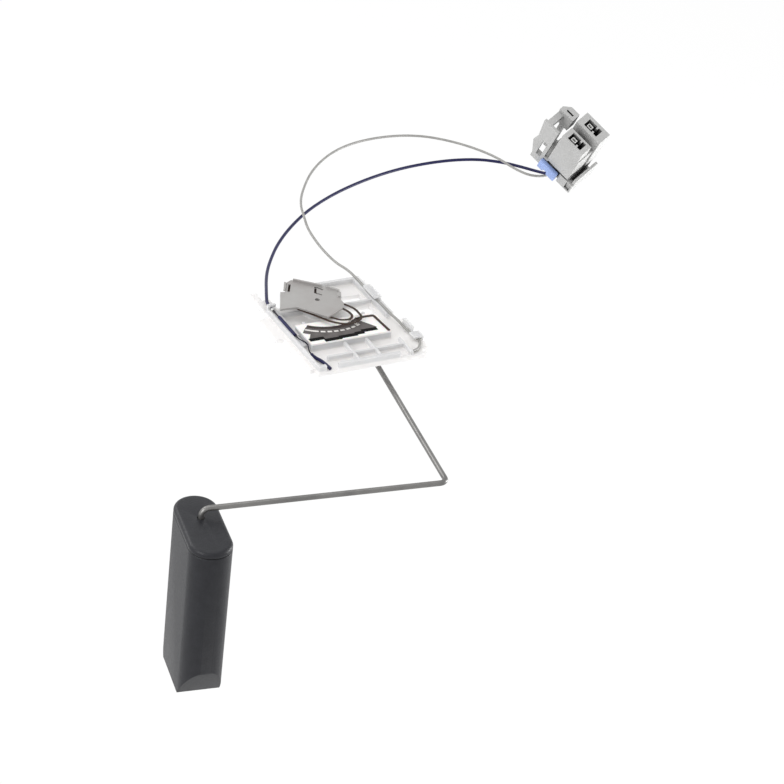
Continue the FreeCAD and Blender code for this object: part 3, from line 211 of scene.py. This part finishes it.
def finish(
    name,
    colour,
    shade,
    edge,
    roughness,
    rough_spread=0.08,
    grain_scale=2500.0,
    mottle_scale=90.0,
    bump=0.00001,
    edge_radius=0.0002,
    edge_gain=6.0,
    painted_hollow_colour=None,
    hollow_reach=0.002,
    hollow_start=0.35,
    hollow_stop=0.9,
    painted_floor_light=None,
    **sockets,
):
    """A surface with mottled colour, worn edges, shade painted into its slots and corners, light
    painted onto a thin floor where one is given, varied gloss and a grained skin.
    """
    material = bpy.data.materials.new(name)
    material.use_nodes = True
    tree = material.node_tree
    link = tree.links.new
    shader = tree.nodes["Principled BSDF"]
    grain = tree.nodes.new("ShaderNodeGroup")
    grain.node_tree = GRAIN
    grain.inputs["Grain Scale"].default_value = grain_scale
    grain.inputs["Mottle Scale"].default_value = mottle_scale
    edges = tree.nodes.new("ShaderNodeGroup")
    edges.node_tree = EDGES
    edges.inputs["Radius"].default_value = edge_radius
    edges.inputs["Gain"].default_value = edge_gain
    body = tree.nodes.new("ShaderNodeMix")
    body.data_type = "RGBA"
    body.inputs["A"].default_value = colour
    body.inputs["B"].default_value = shade
    link(grain.outputs["Mottle"], body.inputs["Factor"])
    # Painted light: a lighter colour on the thin floor stands in for light shining through it.
    if painted_floor_light is not None:
        floor = tree.nodes.new("ShaderNodeGroup")
        floor.node_tree = THIN_FLOOR_LIGHT_GROUP
        lit = tree.nodes.new("ShaderNodeMix")
        lit.data_type = "RGBA"
        lit.inputs["B"].default_value = painted_floor_light
        link(body.outputs["Result"], lit.inputs["A"])
        link(floor.outputs["Thin"], lit.inputs["Factor"])
        body = lit
    worn = tree.nodes.new("ShaderNodeMix")
    worn.data_type = "RGBA"
    worn.inputs["B"].default_value = edge
    link(body.outputs["Result"], worn.inputs["A"])
    link(edges.outputs["Edge"], worn.inputs["Factor"])
    colours = worn
    # Painted shade: the colour is darkened towards a dark colour in slots and corners, by ambient
    # occlusion.
    if painted_hollow_colour is not None:
        hollow_shade = tree.nodes.new("ShaderNodeGroup")
        hollow_shade.node_tree = HOLLOW_SHADE_GROUP
        hollow_shade.inputs["Reach"].default_value = hollow_reach
        hollow_shade.inputs["Start"].default_value = hollow_start
        hollow_shade.inputs["Stop"].default_value = hollow_stop
        colours = tree.nodes.new("ShaderNodeMix")
        colours.data_type = "RGBA"
        colours.inputs["B"].default_value = painted_hollow_colour
        link(worn.outputs["Result"], colours.inputs["A"])
        link(hollow_shade.outputs["Depth"], colours.inputs["Factor"])
    link(colours.outputs["Result"], shader.inputs["Base Color"])
    gloss = tree.nodes.new("ShaderNodeMapRange")
    gloss.inputs["To Min"].default_value = roughness - rough_spread
    gloss.inputs["To Max"].default_value = roughness + rough_spread
    link(grain.outputs["Grain"], gloss.inputs["Value"])
    link(gloss.outputs["Result"], shader.inputs["Roughness"])
    relief = tree.nodes.new("ShaderNodeBump")
    relief.inputs["Distance"].default_value = bump
    link(grain.outputs["Grain"], relief.inputs["Height"])
    link(edges.outputs["Normal"], relief.inputs["Normal"])
    link(relief.outputs["Normal"], shader.inputs["Normal"])
    for title, value in sockets.items():
        shader.inputs[title.replace("_", " ")].default_value = value
    return material


FINISHES = {
    "natural_acetal": finish(
        "natural_acetal",
        linear(209, 209, 210),
        linear(200, 200, 201),
        linear(225, 225, 226),
        0.4,
        grain_scale=900.0,
        mottle_scale=55.0,
        # Painted light: the thin floor is made lighter, as if light shone through it.
        painted_floor_light=linear(230, 228, 227),
        Subsurface_Weight=0.45,
        Subsurface_Scale=0.005,
        Subsurface_Radius=(1.0, 1.0, 0.95),
    ),
    "board_ceramic": finish(
        "board_ceramic",
        linear(252, 247, 244),
        linear(247, 239, 236),
        linear(254, 252, 250),
        0.5,
        mottle_scale=70.0,
        Subsurface_Weight=0.2,
        Subsurface_Scale=0.002,
    ),
    "track_dark": finish(
        "track_dark", linear(58, 51, 50), linear(78, 70, 68), linear(96, 88, 86), 0.6,
        mottle_scale=260.0,
        Specular_IOR_Level=0.12,
    ),
    "contact_silver": finish(
        "contact_silver", linear(236, 233, 230), linear(214, 210, 206), linear(246, 244, 242), 0.4,
        Metallic=0.25,
    ),
    "track_grey": finish(
        "track_grey", linear(106, 102, 101), linear(88, 84, 83), linear(128, 124, 122), 0.6,
        mottle_scale=260.0,
        Specular_IOR_Level=0.12,
    ),
    "coat_black": finish(
        "coat_black", linear(11, 10, 11), linear(20, 18, 19), linear(34, 31, 32), 0.55,
        Specular_IOR_Level=0.05,
    ),
    "spring_alloy": finish(
        "spring_alloy", linear(66, 49, 40), linear(46, 34, 28), linear(120, 94, 78), 0.36,
        edge_radius=0.00008,
        Metallic=0.5,
        Specular_IOR_Level=0.2,
    ),
    "lever_plastic": finish(
        "lever_plastic",
        linear(168, 167, 165),
        linear(153, 149, 147),
        linear(206, 205, 203),
        0.38,
        mottle_scale=45.0,
        # Painted shade: the lever's slots and recesses are darkened.
        painted_hollow_colour=linear(46, 44, 44),
        hollow_reach=0.0014,
        hollow_start=0.45,
    ),
    "arm_steel": finish(
        "arm_steel",
        linear(130, 129, 127),
        linear(112, 111, 110),
        linear(154, 153, 151),
        0.32,
        rough_spread=0.05,
        grain_scale=1400.0,
        bump=0.000003,
        Metallic=0.7,
    ),
    "retainer_steel": finish(
        "retainer_steel", linear(150, 150, 152), linear(120, 120, 122), linear(190, 190, 192), 0.36,
        Metallic=0.9,
    ),
    "float_foam": finish(
        "float_foam",
        linear(24, 25, 30),
        linear(32, 33, 38),
        linear(58, 59, 64),
        0.4,
        rough_spread=0.07,
        grain_scale=1500.0,
        mottle_scale=260.0,
        bump=0.00004,
        edge_radius=0.0004,
        edge_gain=2.0,
        # Painted shade: the parting groove and the wire's hole are darkened.
        painted_hollow_colour=linear(8, 8, 10),
        hollow_reach=0.0015,
        hollow_start=0.2,
        hollow_stop=0.6,
        Specular_IOR_Level=0.32,
    ),
    "terminal_tin": finish(
        "terminal_tin", linear(236, 236, 234), linear(214, 214, 212), linear(250, 250, 248), 0.25,
        Metallic=0.4,
    ),
    "connector_plastic": finish(
        "connector_plastic",
        linear(181, 181, 180),
        linear(171, 171, 170),
        linear(212, 212, 211),
        0.4,
        mottle_scale=70.0,
        edge_radius=0.0003,
        # Painted shade: the housing's windows, slots and recesses are darkened.
        painted_hollow_colour=linear(44, 44, 45),
        hollow_reach=0.006,
        hollow_start=0.42,
        hollow_stop=0.78,
    ),
    "lock_plastic": finish(
        "lock_plastic",
        linear(150, 172, 222),
        linear(140, 162, 214),
        linear(180, 198, 238),
        0.36,
        edge_radius=0.0003,
        # Painted shade: the lock's recesses are darkened.
        painted_hollow_colour=linear(40, 52, 110),
        hollow_reach=0.002,
    ),
    "lead_blue_jacket": finish(
        "lead_blue_jacket", linear(30, 30, 74), linear(23, 24, 62), linear(46, 47, 98), 0.36,
        mottle_scale=160.0,
        Specular_IOR_Level=0.2,
    ),
    "lead_grey_jacket": finish(
        "lead_grey_jacket", linear(152, 151, 148), linear(140, 139, 137), linear(168, 167, 165), 0.4,
        mottle_scale=160.0,
    ),
    "conductor_copper": finish(
        "conductor_copper", linear(30, 26, 44), linear(22, 19, 34), linear(60, 52, 66), 0.4,
        Specular_IOR_Level=0.2,
    ),
}


def dress(thing, slot):
    """Gives a piece the one finish of the given slot."""
    thing.data.materials.clear()
    thing.data.materials.append(FINISHES[slot])


def dress_frame():
    """Each carried-over solid gets the finish of its own slot."""
    for part in frame["record"]["subparts"]:
        dress(frame["nodes"][part["node"]], part["material_slot"])


# Moulded piece with rounded edges, in place of the plain solid
MERGE_WITHIN = 0.004 * MM
FLAT_ANGLE = math.radians(3)
EDGE_ANGLE = math.radians(40)
SMOOTH_ANGLE = math.radians(35)
LOCK_ROUNDING = 0.4 * MM


def make_rounded(name, node, slot, body, width):
    """A copy of a solid, merged, freed of flat seams and rounded on its edges."""
    source = frame["nodes"][node]
    piece = source.copy()
    piece.data = source.data.copy()
    piece.name = name
    bpy.context.scene.collection.objects.link(piece)
    bpy.ops.object.select_all(action="DESELECT")
    piece.select_set(True)
    bpy.context.view_layer.objects.active = piece
    bpy.ops.object.mode_set(mode="EDIT")
    bpy.ops.mesh.select_all(action="SELECT")
    bpy.ops.mesh.remove_doubles(threshold=MERGE_WITHIN)
    bpy.ops.mesh.dissolve_limited(angle_limit=FLAT_ANGLE)
    bpy.ops.object.mode_set(mode="OBJECT")
    rounding = piece.modifiers.new("rounding", "BEVEL")
    rounding.width = width
    rounding.segments = 2
    rounding.limit_method = "ANGLE"
    rounding.angle_limit = EDGE_ANGLE
    rounding.use_clamp_overlap = False
    bpy.ops.object.modifier_apply(modifier="rounding")
    bpy.ops.object.shade_smooth_by_angle(angle=SMOOTH_ANGLE)
    piece.select_set(False)
    dress(piece, slot)
    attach(piece, body)
    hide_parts(node)
    return piece


# Dark plates under the lever, seen through the lever's slots: painted shade, a dark sheet put where
# the slots show only shade
SHADE_PLATE_LEVEL = 7.82 * MM
SHADE_PLATE_THICK = 0.25 * MM
SHADE_PLATE_EDGE = 0.06 * MM
SLOT_SHADE_PLATES = [
    ("slot_shade_plate_hub", (4.0, 8.5), (6.0, 5.0), 0),
    ("slot_shade_plate_side", (-8.08, 13.8), (8.0, 2.0), 60),
]


def make_slot_shade_plate(name, middle, size, turn):
    """A small dark flat plate under the lever, with broken edges, that paints shade into a slot."""
    bpy.ops.mesh.primitive_cube_add(
        size=1,
        location=(middle[0] * MM, middle[1] * MM, SHADE_PLATE_LEVEL),
        rotation=(0, 0, math.radians(turn)),
        scale=(size[0] * MM, size[1] * MM, SHADE_PLATE_THICK),
    )
    shade_plate = bpy.context.object
    shade_plate.name = name
    bpy.ops.object.transform_apply(location=True, rotation=True, scale=True)
    bpy.ops.object.mode_set(mode="EDIT")
    bpy.ops.mesh.select_all(action="SELECT")
    bpy.ops.mesh.bevel(offset=SHADE_PLATE_EDGE, segments=2, affect="EDGES")
    bpy.ops.object.mode_set(mode="OBJECT")
    bpy.ops.object.shade_smooth_by_angle(angle=SMOOTH_ANGLE)
    shade_plate.select_set(False)
    # The springs' dark finish, so that the plate paints the slot dark.
    dress(shade_plate, "spring_alloy")
    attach(shade_plate, "swing_arm")


# Leads: the same points as the solids' routes
BLUE_ROUTE = [
    (-21.2, 6.0, 5.0),
    (-21.2, 9.8, 5.0),
    (-18.6, 15.8, 5.0),
    (-15.0, 23.4, 4.2),
    (-10.6, 32.6, 2.8),
    (-5.4, 42.4, 1.6),
    (0.9, 52.4, 1.0),
    (12.2, 67.6, 0.8),
    (27.7, 83.5, 0.8),
    (47.1, 99.0, 0.8),
    (73.3, 113.3, 0.8),
    (105.6, 124.3, 0.8),
    (135.0, 127.4, 0.8),
    (157.2, 124.4, 0.8),
    (170.2, 116.4, 0.9),
    (176.8, 107.2, 1.6),
    (181.2, 99.8, 2.2),
    (184.1, 91.9, 3.8),
    (183.1, 88.1, 9.0),
]
GREY_ROUTE = [
    (30.8, 21.0, 5.0),
    (30.8, 27.4, 5.0),
    (29.7, 37.0, 3.6),
    (30.6, 48.4, 2.0),
    (32.0, 62.0, 0.9),
    (34.2, 78.2, 0.9),
    (36.6, 88.0, 3.2),
    (39.6, 97.6, 3.2),
    (47.4, 112.2, 1.9),
    (64.7, 135.8, 0.7),
    (84.1, 152.1, 0.7),
    (103.4, 160.4, 0.7),
    (124.5, 162.2, 0.7),
    (142.1, 158.0, 0.7),
    (155.0, 147.5, 0.8),
    (163.6, 133.4, 1.6),
    (167.6, 117.3, 3.3),
    (171.4, 105.6, 1.9),
    (177.3, 97.4, 0.8),
    (187.0, 94.6, 1.2),
    (195.3, 96.3, 7.3),
    (194.1, 91.6, 13.7),
]
BLUE_RADIUS = 0.8 * MM
GREY_RADIUS = 0.65 * MM


def make_lead(name, route, radius, node):
    """One insulated lead on a smooth line."""
    data = bpy.data.curves.new(name, "CURVE")
    data.dimensions = "3D"
    line = data.splines.new("NURBS")
    line.points.add(len(route) - 1)
    for point, place in zip(line.points, route):
        point.co = (*(Vector(place) * MM), 1.0)
    line.order_u = 3
    line.use_endpoint_u = True
    line.resolution_u = 16
    data.bevel_depth = radius
    data.bevel_resolution = 4
    data.use_fill_caps = True
    lead = bpy.data.objects.new(name, data)
    bpy.context.scene.collection.objects.link(lead)
    dress(lead, f"{node}_jacket")
    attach(lead, "plate_unit")
    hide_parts(node)


# Float: a moulded foam block with rounded rim, a parting groove, two bevels and the wire's hole
FLOAT_LONG = 43.4 * MM
FLOAT_WIDE = 18.8 * MM
FLOAT_TURN = math.radians(80)
FLOAT_RIM = 1.9 * MM
FLOAT_GROOVE = 3.0 * MM
GROOVE_WIDE = 0.4 * MM
GROOVE_DEEP = 0.7 * MM
FLOAT_BEVEL_IN = 9.4 * MM
FLOAT_BEVEL_HIGH = 16.5 * MM
HOLE_RADIUS = 1.5 * MM
HOLE_SHIFT = 4.2 * MM
FLOAT_STEPS = 96
FLOAT_EDGE = 0.5 * MM
EDGE_LIMIT = math.radians(35)
FLOAT_SMOOTH = math.radians(32)


def edit_select(test):
    """Selects the vertices of the active mesh that pass a test, and goes on in edit mode."""
    bpy.ops.object.mode_set(mode="EDIT")
    bpy.ops.mesh.select_mode(type="VERT")
    bpy.ops.mesh.select_all(action="DESELECT")
    bpy.ops.object.mode_set(mode="OBJECT")
    for vertex in bpy.context.object.data.vertices:
        vertex.select = test(vertex.co)
    bpy.ops.object.mode_set(mode="EDIT")


def make_float():
    """The foam block, shaped from a cylinder about its own middle and then laid in its place."""
    low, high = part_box("float")
    tall = high[2] - low[2]
    bpy.ops.mesh.primitive_cylinder_add(
        vertices=FLOAT_STEPS,
        radius=FLOAT_WIDE / 2,
        depth=tall,
        end_fill_type="NGON",
        rotation=(0, 0, math.pi / FLOAT_STEPS),
    )
    block = bpy.context.object
    block.name = "foam_float"
    bpy.ops.object.transform_apply(location=True, rotation=True, scale=True)
    reach = (FLOAT_LONG - FLOAT_WIDE) / 2
    for side in (-1, 1):
        edit_select(lambda place: place.x * side > 0)
        bpy.ops.transform.translate(value=(side * reach, 0, 0))
        bpy.ops.object.mode_set(mode="OBJECT")

    top = tall / 2
    edit_select(lambda place: place.z > 0)
    bpy.ops.mesh.bevel(offset=FLOAT_RIM, offset_type="OFFSET", segments=7, affect="EDGES")
    for drop in (-GROOVE_WIDE, 0.0, GROOVE_WIDE):
        bpy.ops.mesh.select_all(action="SELECT")
        bpy.ops.mesh.bisect(plane_co=(0, 0, top - FLOAT_GROOVE + drop), plane_no=(0, 0, 1))
    bpy.ops.object.mode_set(mode="OBJECT")
    edit_select(lambda place: abs(place.z - top + FLOAT_GROOVE) < 0.1 * MM)
    bpy.ops.transform.shrink_fatten(value=-GROOVE_DEEP)
    for side in (-1, 1):
        bpy.ops.mesh.select_all(action="SELECT")
        bpy.ops.mesh.bisect(
            plane_co=(side * (FLOAT_LONG / 2 - FLOAT_BEVEL_IN), 0, -top),
            plane_no=Vector((side * FLOAT_BEVEL_HIGH, 0, -FLOAT_BEVEL_IN)).normalized(),
            threshold=0.001 * MM,
            use_fill=True,
            clear_outer=True,
        )
    bpy.ops.object.mode_set(mode="OBJECT")

    bpy.ops.mesh.primitive_cylinder_add(
        vertices=32, radius=HOLE_RADIUS, depth=tall * 1.1, location=(HOLE_SHIFT, 0, 0)
    )
    drill = bpy.context.object
    bpy.context.view_layer.objects.active = block
    hole = block.modifiers.new("hole", "BOOLEAN")
    hole.object = drill
    bpy.ops.object.modifier_apply(modifier="hole")
    bpy.data.objects.remove(drill)
    round_edges = block.modifiers.new("round_edges", "BEVEL")
    round_edges.width = FLOAT_EDGE
    round_edges.segments = 3
    round_edges.limit_method = "ANGLE"
    round_edges.angle_limit = EDGE_LIMIT
    bpy.ops.object.modifier_apply(modifier="round_edges")
    bpy.ops.object.select_all(action="DESELECT")
    block.select_set(True)
    bpy.ops.object.shade_smooth_by_angle(angle=FLOAT_SMOOTH)
    block.rotation_euler = (0, 0, FLOAT_TURN)
    block.location = [(a + b) / 2 for a, b in zip(low, high)]
    bpy.ops.object.transform_apply(location=True, rotation=True, scale=True)
    block.select_set(False)
    dress(block, "float_foam")
    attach(block, "float_body")
    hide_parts("float")


# Stage
FLOOR_LEVEL = -160 * MM
FLOOR_SIZE = 12
FLOOR_WHITE = 0.88
AMBIENT = 0.63


def shown_directly(tree):
    """1 where the camera, a gloss or a clear surface looks straight at the background."""
    path = tree.nodes.new("ShaderNodeLightPath")
    first = tree.nodes.new("ShaderNodeMath")
    first.operation = "MAXIMUM"
    tree.links.new(path.outputs["Is Camera Ray"], first.inputs[0])
    tree.links.new(path.outputs["Is Glossy Ray"], first.inputs[1])
    both = tree.nodes.new("ShaderNodeMath")
    both.operation = "MAXIMUM"
    tree.links.new(first.outputs[0], both.inputs[0])
    tree.links.new(path.outputs["Is Transmission Ray"], both.inputs[1])
    return both.outputs[0]


def make_stage():
    """A wide pale floor and a pale world."""
    bpy.ops.mesh.primitive_plane_add(size=FLOOR_SIZE, location=(0, 0, FLOOR_LEVEL))
    floor = bpy.context.object
    floor.name = "floor"
    material = bpy.data.materials.new("floor_paper")
    material.use_nodes = True
    tree = material.node_tree
    shader = tree.nodes["Principled BSDF"]
    shader.inputs["Base Color"].default_value = linear(250, 250, 250)
    shader.inputs["Roughness"].default_value = 0.9
    shader.inputs["Specular IOR Level"].default_value = 0.0
    glow = tree.nodes.new("ShaderNodeEmission")
    glow.inputs["Strength"].default_value = 1.0
    share = tree.nodes.new("ShaderNodeMath")
    share.operation = "MULTIPLY"
    share.inputs[1].default_value = FLOOR_WHITE
    tree.links.new(shown_directly(tree), share.inputs[0])
    mix = tree.nodes.new("ShaderNodeMixShader")
    tree.links.new(share.outputs[0], mix.inputs["Fac"])
    tree.links.new(shader.outputs[0], mix.inputs[1])
    tree.links.new(glow.outputs[0], mix.inputs[2])
    tree.links.new(mix.outputs[0], tree.nodes["Material Output"].inputs["Surface"])
    floor.data.materials.append(material)

    world = bpy.data.worlds.new("studio")
    world.use_nodes = True
    bpy.context.scene.world = world
    tree = world.node_tree
    background = tree.nodes["Background"]
    background.inputs["Color"].default_value = (1, 1, 1, 1)
    level = tree.nodes.new("ShaderNodeMapRange")
    level.inputs["To Min"].default_value = AMBIENT
    level.inputs["To Max"].default_value = 1.0
    tree.links.new(shown_directly(tree), level.inputs["Value"])
    tree.links.new(level.outputs["Result"], background.inputs["Strength"])


def make_lamp(name, place, target, size, watts):
    """A soft square lamp that looks at a target."""
    data = bpy.data.lights.new(name, "AREA")
    data.size = size
    data.energy = watts
    lamp = bpy.data.objects.new(name, data)
    bpy.context.scene.collection.objects.link(lamp)
    lamp.location = place
    lamp.rotation_euler = (Vector(target) - Vector(place)).to_track_quat("-Z", "Y").to_euler()
    lamp.visible_camera = False


LAMPS = [
    ("key", (-1.35, -0.4, 0.7), (0.03, 0.0, 0.0), 0.9, 11),
    ("back", (-0.75, 1.45, 1.1), (0.03, 0.0, 0.0), 1.2, 12),
    ("top", (0.0, 0.2, 1.9), (0.03, 0.0, 0.0), 1.2, 6),
    ("fill", (0.65, -0.19, -0.03), (0.177, 0.085, 0.02), 0.3, 4.2),
]


def make_light():
    """A large soft key from the left, weaker lamps behind and above, a low fill by the plug."""
    for lamp in LAMPS:
        make_lamp(*lamp)


make_camera()
dress_frame()
ON_THE_LEADS = [
    frame["nodes"]["connector_housing"],
    frame["nodes"]["contact_receptacle_one"],
    frame["nodes"]["contact_receptacle_two"],
    make_rounded("rounded_lock", "connector_lock", "lock_plastic", "lock_body", LOCK_ROUNDING),
]
make_lead("blue_lead", BLUE_ROUTE, BLUE_RADIUS, "lead_blue")
make_lead("grey_lead", GREY_ROUTE, GREY_RADIUS, "lead_grey")
make_float()
# Dark plates that paint shade into the lever's slots.
for shade_plate in SLOT_SHADE_PLATES:
    make_slot_shade_plate(*shade_plate)
make_stage()
make_light()
bpy.context.scene.view_settings.view_transform = "Standard"
